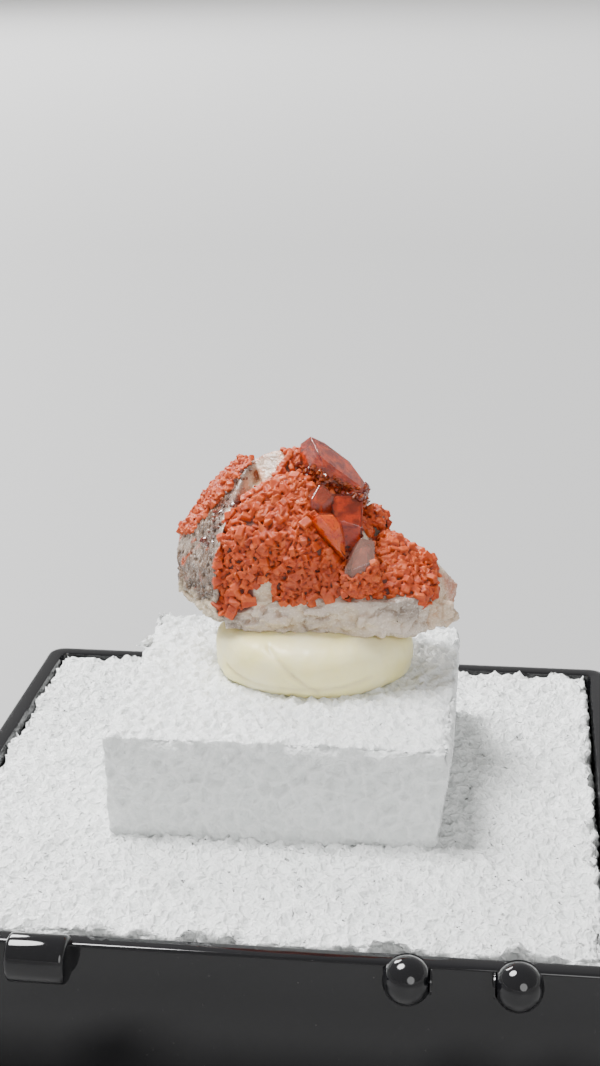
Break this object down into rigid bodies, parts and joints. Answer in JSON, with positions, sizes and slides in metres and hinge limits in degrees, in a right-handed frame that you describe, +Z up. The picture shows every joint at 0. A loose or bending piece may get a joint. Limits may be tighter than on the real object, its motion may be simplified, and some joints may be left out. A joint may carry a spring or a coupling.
{
  "type": "hematoid quartz cluster",
  "caption": "Thumbnail cluster of iron-stained quartz with amber crystals and a red druse crust, set on putty and a foam block in the black base of a small display box.",
  "frame": {"origin": "middle of the box base's flat underside", "axes": "+X right, +Y back, away from the hinge side, +Z up"},
  "size_m": [0.0492, 0.0515, 0.0353],
  "materials": {
    "box_base": "moulded black polystyrene, polished",
    "foam_bed": "white closed-cell foam",
    "foam_riser": "white closed-cell foam, knife cut",
    "mineral_tack": "soft waxy putty",
    "quartz_cluster": "natural quartz, red iron-stained crust and clear amber crystals"
  },
  "bodies": {
    "root": {"box_base": "box_base", "foam_bed": "foam_bed", "foam_riser": "foam_riser", "mineral_tack": "mineral_tack", "quartz_cluster": "quartz_cluster"}
  },
  "joints": []
}
